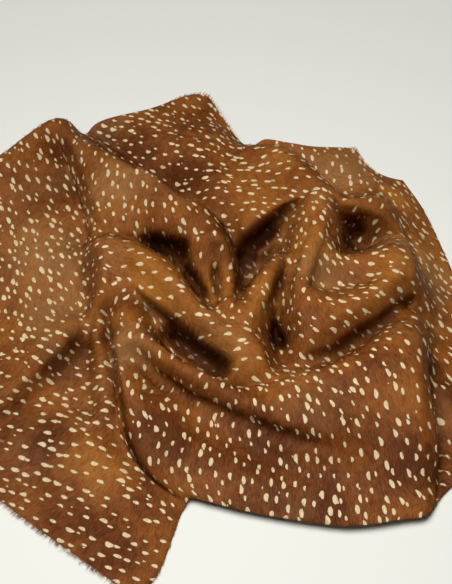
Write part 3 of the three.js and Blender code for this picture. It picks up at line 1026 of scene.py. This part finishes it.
class Wire:
    """A shader socket that can be reckoned with as a number or a vector."""

    def __init__(self, nodes: "Nodes", socket: Any) -> None:
        """Keeps the socket with the node tree that it is in."""
        self.nodes = nodes
        self.socket = socket

    def maths(self, operation: str, *others: Any) -> "Wire":
        """One Math node of this value and others."""
        return self.nodes.node("ShaderNodeMath", {"operation": operation}, dict(enumerate((self, *others))))

    def __add__(self, other: Any) -> "Wire":
        """This value plus another."""
        return self.maths("ADD", other)

    def __sub__(self, other: Any) -> "Wire":
        """This value less another."""
        return self.maths("SUBTRACT", other)

    def __rsub__(self, other: float) -> "Wire":
        """A number less this value."""
        return (self * -1.0) + other

    def __mul__(self, other: Any) -> "Wire":
        """This value times another."""
        return self.maths("MULTIPLY", other)

    def __truediv__(self, other: Any) -> "Wire":
        """This value over another."""
        return self.maths("DIVIDE", other)

    def __pow__(self, other: Any) -> "Wire":
        """This value raised to a power."""
        return self.maths("POWER", other)

    __radd__ = __add__
    __rmul__ = __mul__

    def most(self, other: Any) -> "Wire":
        """The greater of this value and another."""
        return self.maths("MAXIMUM", other)

    def over(self, low: float, high: float) -> "Wire":
        """A soft step from 0 at low to 1 at high."""
        sockets = {"Value": self, "From Min": low, "From Max": high}
        return self.nodes.node("ShaderNodeMapRange", {"interpolation_type": "SMOOTHSTEP"}, sockets)

    def vector(self, operation: str, *others: Any, out: int = 0) -> "Wire":
        """One Vector Math node of this vector and others."""
        sockets = dict(enumerate((self, *others)))
        return self.nodes.node("ShaderNodeVectorMath", {"operation": operation}, sockets, out)

    def scaled(self, factor: float) -> "Wire":
        """This vector times a number."""
        sockets = {"Vector": self, "Scale": factor}
        return self.nodes.node("ShaderNodeVectorMath", {"operation": "SCALE"}, sockets)

    def turned(self, angle: float) -> "Wire":
        """This vector turned about the third axis."""
        settings = {"rotation_type": "Z_AXIS"}
        return self.nodes.node("ShaderNodeVectorRotate", settings, {"Vector": self, "Angle": angle})

    def parts(self) -> tuple["Wire", "Wire", "Wire"]:
        """The three parts of this vector."""
        made = self.nodes.make("ShaderNodeSeparateXYZ", {}, {"Vector": self})
        return tuple(Wire(self.nodes, socket) for socket in made.outputs[:3])


class Nodes:
    """The node tree of one material."""

    def __init__(self, name: str) -> None:
        """Starts a material with a Principled shader.

        Args:
            name: Name of the material.
        """
        self.material = bpy.data.materials.new(name)
        self.material.use_nodes = True
        self.tree = self.material.node_tree
        self.shader = self.tree.nodes["Principled BSDF"]

    def make(self, kind: str, settings: dict[str, Any], sockets: dict[Any, Any]) -> bpy.types.Node:
        """Adds a node.

        Args:
            kind: Type of the node.
            settings: Its settings, set first. A ramp's stops are given as a list of place and colour.
            sockets: Values or links of its inputs, by name or number.

        Returns:
            The node.
        """
        made = self.tree.nodes.new(kind)
        for key, value in settings.items():
            if key == "stops":
                self.set_stops(made.color_ramp.elements, value)
            else:
                setattr(made, key, value)
        self.feed(made, sockets)
        return made

    def set_stops(self, elements: Any, stops: Sequence[tuple[float, Triple]]) -> None:
        """Sets the stops of a ramp."""
        while len(elements) < len(stops):
            elements.new(0.5)
        for element, (place, colour) in zip(elements, stops):
            element.position = place
            element.color = (*colour, 1.0)

    def feed(self, made: bpy.types.Node, sockets: dict[Any, Any]) -> None:
        """Sets or links the inputs of a node."""
        for key, value in sockets.items():
            if isinstance(value, Wire):
                self.tree.links.new(value.socket, made.inputs[key])
            else:
                made.inputs[key].default_value = value

    def node(self, kind: str, settings: dict[str, Any], sockets: dict[Any, Any], out: Any = 0) -> Wire:
        """Adds a node and returns one of its outputs."""
        return Wire(self, self.make(kind, settings, sockets).outputs[out])

    def flat(self) -> Wire:
        """Place on the flat cut, in metres."""
        return self.node("ShaderNodeUVMap", {"uv_map": FLAT_MAP}, {})

    def stored(self, name: str, out: str = "Fac") -> Wire:
        """A value stored at the points of the mesh."""
        return self.node("ShaderNodeAttribute", {"attribute_name": name}, {}, out)

    def noise(self, place: Wire, size: float, detail: float = 2.0, rough: float = 0.5) -> Wire:
        """Cloudy noise whose clouds are about size across."""
        sockets = {"Vector": place, "Scale": 1.0 / size, "Detail": detail, "Roughness": rough}
        return self.node("ShaderNodeTexNoise", {"noise_dimensions": "2D"}, sockets)

    def ramp(self, factor: Wire, stops: Sequence[tuple[float, Triple]]) -> Wire:
        """Colours along a value."""
        return self.node("ShaderNodeValToRGB", {"stops": stops}, {"Fac": factor})

    def mixed(self, factor: Any, first: Any, second: Any, how: str = "MIX") -> Wire:
        """Two colours mixed."""
        colours = [(*c, 1.0) if isinstance(c, tuple) else c for c in (first, second)]
        settings = {"data_type": "RGBA", "blend_type": how}
        return self.node("ShaderNodeMix", settings, {0: factor, 6: colours[0], 7: colours[1]}, 2)

    def finish(self, **sockets: Any) -> bpy.types.Material:
        """Feeds the shader, with underscores for the spaces of its socket names, and returns the material."""
        self.feed(self.shader, {key.replace("_", " "): value for key, value in sockets.items()})
        return self.material


@dataclass(frozen=True)
class Spots:
    """Cream spots scattered over the flat cut, each an oval along the print."""

    cell: float
    shortest: float
    longest: float
    kept: float
    shift: float
    slant: float = math.radians(33.0)
    scatter: float = 0.74
    size_bias: float = 1.2
    girth: tuple[float, float] = (0.38, 0.14)
    bend: float = 0.55
    flare: float = 0.9
    least_flare: float = 0.3
    ragged_size: float = 3.2 * MM
    ragged: float = 0.18
    rim: tuple[float, float] = (0.86, 1.06)
    sharp: float = 0.001

    def mask(self, nodes: Nodes) -> Wire:
        """Adds the nodes of the spots.

        Args:
            nodes: The material.

        Returns:
            One inside a spot and nought outside.
        """
        place = nodes.flat().turned(self.slant).scaled(1.0 / self.cell)
        place = place.vector("ADD", (self.shift, self.shift, 0.0))
        sockets = {"Vector": place, "Scale": 1.0, "Randomness": self.scatter}
        cells = nodes.make("ShaderNodeTexVoronoi", {"voronoi_dimensions": "2D", "feature": "F1"}, sockets)
        offset = place.vector("SUBTRACT", Wire(nodes, cells.outputs["Position"]))
        offset = offset.scaled(self.cell).turned(-self.slant)
        pick_a, pick_b, pick_c = Wire(nodes, cells.outputs["Color"]).parts()
        lay_x, lay_y, breadth = nodes.stored(PRINT, "Vector").parts()
        off_x, off_y, _ = offset.parts()
        along = off_x * lay_x + off_y * lay_y
        across = (off_y * lay_x - off_x * lay_y) * breadth
        half = pick_a**self.size_bias * (self.longest - self.shortest) + self.shortest
        end = along / half
        bent = across + end * end * half * (pick_b - 0.5) * self.bend
        flare = (1.0 + end * (pick_b - 0.5) * self.flare).most(self.least_flare)
        wide = bent / (half * (self.girth[0] + self.girth[1] * pick_c) * flare)
        ragged = nodes.noise(nodes.flat(), self.ragged_size, 1.0) * self.ragged - 0.5 * self.ragged
        reach = (end * end + wide * wide) ** 0.5 + ragged
        left_out = 1.0 - self.kept
        return (1.0 - reach.over(*self.rim)) * pick_c.over(left_out, left_out + self.sharp)


@dataclass(frozen=True)
class CoatFinish:
    """Glossy chestnut hair with cream spots, with painted shade in the folds and dark patches, painted light
    in the golden patches, and a painted grey sheen.
    """

    dark: Triple = (0.105, 0.025, 0.004)
    chestnut: Triple = (0.255, 0.076, 0.012)
    golden: Triple = (0.390, 0.145, 0.020)
    # Grey brown of the painted sheen.
    painted_sheen: Triple = (0.385, 0.185, 0.060)
    cream: Triple = (0.800, 0.660, 0.400)
    cream_shade: Triple = (0.560, 0.400, 0.190)
    # Colour that the coat is multiplied towards deep in folds, as painted shade.
    fold_shade: Triple = (0.320, 0.270, 0.280)
    spots: tuple[Spots, ...] = (
        Spots(cell=14.2 * MM, shortest=2.7 * MM, longest=5.5 * MM, kept=0.97, shift=3.3),
        Spots(cell=27.0 * MM, shortest=1.2 * MM, longest=2.2 * MM, kept=0.45, shift=11.7),
    )
    cloud_size: float = 62.0 * MM
    patch_size: float = 95.0 * MM
    patch_shift: Triple = (3.1, 1.7, 0.0)
    streak_size: float = 9.0 * MM
    ground: float = 0.06
    cloud_share: float = 0.60
    streak_share: float = 0.25
    tone_share: float = 0.26
    reach_share: float = 0.08
    golden_and_lit_share: float = 0.20
    dark_and_shade_share: float = 0.24
    patch_share: float = 0.20
    painted_sheen_share: float = 0.65
    cream_ground: float = 0.55
    cream_tone_share: float = 0.7
    cream_reach_share: float = 0.2

    def coat(self, nodes: Nodes, tone: Any, reach: Any) -> Wire:
        """Adds the nodes of the coat's colour.

        Args:
            nodes: The material.
            tone: How light each hair is, from 0 to 1.
            reach: How far along its hair a place is.

        Returns:
            The colour.
        """
        place = nodes.flat()
        cloud = nodes.noise(place, self.cloud_size, 3.0, 0.55)
        patch = nodes.noise(place.vector("ADD", self.patch_shift), self.patch_size, 2.0)
        streak = nodes.noise(place, self.streak_size, 2.0)
        # The tint gives painted shade, painted light and painted sheen, by patch.
        dark, golden, painted_sheen = nodes.stored(TINT, "Vector").parts()
        shade = cloud * self.cloud_share + streak * self.streak_share + self.ground
        shade = shade + (tone - 0.5) * self.tone_share + (reach - 0.5) * self.reach_share
        # Golden patches add painted light on lit roll tops and dark patches add painted shade, each partly
        # the coat's own colour.
        shade = shade + golden * self.golden_and_lit_share - dark * self.dark_and_shade_share
        brown = nodes.ramp(shade, ((0.22, self.dark), (0.48, self.chestnut), (0.78, self.golden)))
        # Painted grey sheen, partly in noisy patches over the coat and partly in the sheen patches.
        painted_sheen_mix = patch.over(0.5, 0.72) * self.patch_share + painted_sheen * self.painted_sheen_share
        brown = nodes.mixed(painted_sheen_mix, brown, self.painted_sheen)
        light = self.cream_ground + (tone - 0.5) * self.cream_tone_share
        light = light + (reach - 0.5) * self.cream_reach_share
        cream = nodes.ramp(light, ((0.0, self.cream_shade), (0.6, self.cream)))
        mask = self.spots[0].mask(nodes)
        for spots in self.spots[1:]:
            mask = mask.most(spots.mask(nodes))
        # Painted shade: deep in creases and hollows the colour is multiplied towards fold_shade.
        fold = nodes.stored(HOLLOW).over(0.05, 0.80)
        return nodes.mixed(fold, nodes.mixed(mask, brown, cream), self.fold_shade, "MULTIPLY")

    def hair(self) -> bpy.types.Material:
        """The finish of the hairs.

        Returns:
            The material.
        """
        nodes = Nodes("combed hair")
        colour = self.coat(nodes, nodes.stored(TONE), nodes.stored(REACH))
        return nodes.finish(Base_Color=colour, Roughness=0.48, Specular_IOR_Level=0.12)

    def skin(self) -> bpy.types.Material:
        """The finish of the hair side below the hairs.

        Returns:
            The material.
        """
        nodes = Nodes("hair roots")
        grain = nodes.noise(nodes.flat(), 1.1 * MM, 2.0)
        colour = self.coat(nodes, grain * 0.8, grain * 0.5)
        bump = nodes.node("ShaderNodeBump", {}, {"Strength": 0.5, "Distance": 0.6 * MM, "Height": grain})
        return nodes.finish(Base_Color=colour, Roughness=0.62, Specular_IOR_Level=0.12, Normal=bump)


@dataclass(frozen=True)
class LeatherFinish:
    """Suede of the flesh side and the dark line of the cut edge."""

    suede: Triple = (0.330, 0.205, 0.120)
    suede_pale: Triple = (0.430, 0.290, 0.180)
    cut: Triple = (0.030, 0.016, 0.010)
    cut_worn: Triple = (0.085, 0.045, 0.024)

    def flesh(self) -> bpy.types.Material:
        """The finish of the flesh side.

        Returns:
            The material.
        """
        nodes = Nodes("suede")
        nap = nodes.noise(nodes.flat(), 1.4 * MM, 3.0, 0.65)
        cloud = nodes.noise(nodes.flat(), 45.0 * MM, 3.0)
        colour = nodes.ramp(cloud * 0.6 + nap * 0.4, ((0.3, self.suede), (0.7, self.suede_pale)))
        bump = nodes.node("ShaderNodeBump", {}, {"Strength": 0.6, "Distance": 0.5 * MM, "Height": nap})
        return nodes.finish(Base_Color=colour, Roughness=0.92, Specular_IOR_Level=0.15, Normal=bump)

    def edge(self) -> bpy.types.Material:
        """The finish of the cut edge.

        Returns:
            The material.
        """
        nodes = Nodes("cut edge")
        fray = nodes.noise(nodes.flat(), 3.0 * MM, 3.0)
        colour = nodes.ramp(fray, ((0.35, self.cut), (0.7, self.cut_worn)))
        return nodes.finish(Base_Color=colour, Roughness=0.8, Specular_IOR_Level=0.2)


@dataclass(frozen=True)
class FloorFinish:
    """Plain pale floor."""

    pale: Triple = (0.80, 0.80, 0.735)

    def surface(self) -> bpy.types.Material:
        """The finish of the floor.

        Returns:
            The material.
        """
        nodes = Nodes("pale floor")
        return nodes.finish(Base_Color=(*self.pale, 1.0), Roughness=0.7, Specular_IOR_Level=0.2)


class Lamp(NamedTuple):
    """A soft lamp: where it is, where it points, its side and its power in watts."""

    name: str
    place: Triple
    target: Triple
    side: float
    power: float


@dataclass
class Studio:
    """Floor, soft lamps and the light of the room."""

    floor_side: float = 8.0
    room: Triple = (1.0, 0.99, 0.97)
    room_power: float = 0.05
    even_way: Triple = (0.35, -0.15, -1.0)
    even_angle: float = math.radians(40.0)
    even_power: float = 1.95
    lamps: tuple[Lamp, ...] = (
        Lamp("overhead", (-0.05, -0.25, 1.00), (0.0, 0.0, 0.0), 0.6, 5.8),
    )

    def build(self) -> None:
        """Lays the floor and sets the lamps and the room's light."""
        half = 0.5 * self.floor_side
        points = np.array(((-half, -half, 0), (half, -half, 0), (half, half, 0), (-half, half, 0)), float)
        mesh = mesh_from("floor", points, np.arange(4), np.array((4,)))
        mesh.materials.append(FloorFinish().surface())
        floor = placed("floor", mesh)
        for lamp in self.lamps:
            self.hang(lamp)
        self.brighten()
        world = bpy.data.worlds.new("room")
        world.use_nodes = True
        back = world.node_tree.nodes["Background"]
        back.inputs["Color"].default_value = (*self.room, 1.0)
        back.inputs["Strength"].default_value = self.room_power
        bpy.context.scene.world = world
        bpy.context.scene.view_settings.view_transform = "Standard"

    def brighten(self) -> None:
        """Adds the broad light that falls evenly on the whole floor."""
        light = bpy.data.lights.new("even", "SUN")
        light.angle = self.even_angle
        light.energy = self.even_power
        holder = placed("even", light)
        holder.rotation_euler = Vector(self.even_way).to_track_quat("-Z", "Y").to_euler()

    def hang(self, lamp: Lamp) -> None:
        """Hangs one lamp.

        Args:
            lamp: The lamp.
        """
        light = bpy.data.lights.new(lamp.name, "AREA")
        light.shape = "SQUARE"
        light.size = lamp.side
        light.energy = lamp.power
        holder = placed(lamp.name, light)
        holder.location = lamp.place
        way = Vector(lamp.target) - Vector(lamp.place)
        holder.rotation_euler = way.to_track_quat("-Z", "Y").to_euler()


@dataclass
class Hide:
    """The whole hide: leather and coat."""

    sight: Sight
    layers: int = 3
    first_seed: int = 41

    def build(self) -> None:
        """Makes, dresses and declares every piece."""
        coat, leather_finish = CoatFinish(), LeatherFinish()
        leather = Leather(self.sight)
        leather.shape()
        sheet = leather.build()
        for surface in (coat.skin(), leather_finish.flesh(), leather_finish.edge()):
            sheet.data.materials.append(surface)
        hair_finish = coat.hair()
        layers = []
        for number in range(self.layers):
            layer = HairCoat(leather, f"hair_{number + 1}", seed=self.first_seed + number).build()
            layer.data.materials.append(hair_finish)
            layers.append(layer)
        for piece in (sheet, *layers):
            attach(piece, BODY)
            log.info("%s has %d faces", piece.name, len(piece.data.polygons))
        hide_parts(NODE)
        width, length, area = leather.flat_size()
        log.info("flat cut %.3f by %.3f m, %.3f square metres", width, length, area)


def main() -> None:
    """Builds the view, the studio and the hide, and notes the sizes."""
    logging.basicConfig(level=logging.INFO, format="%(name)s: %(message)s")
    sight = Sight()
    sight.camera()
    Studio().build()
    Hide(sight).build()


if __name__ == "__main__":
    main()
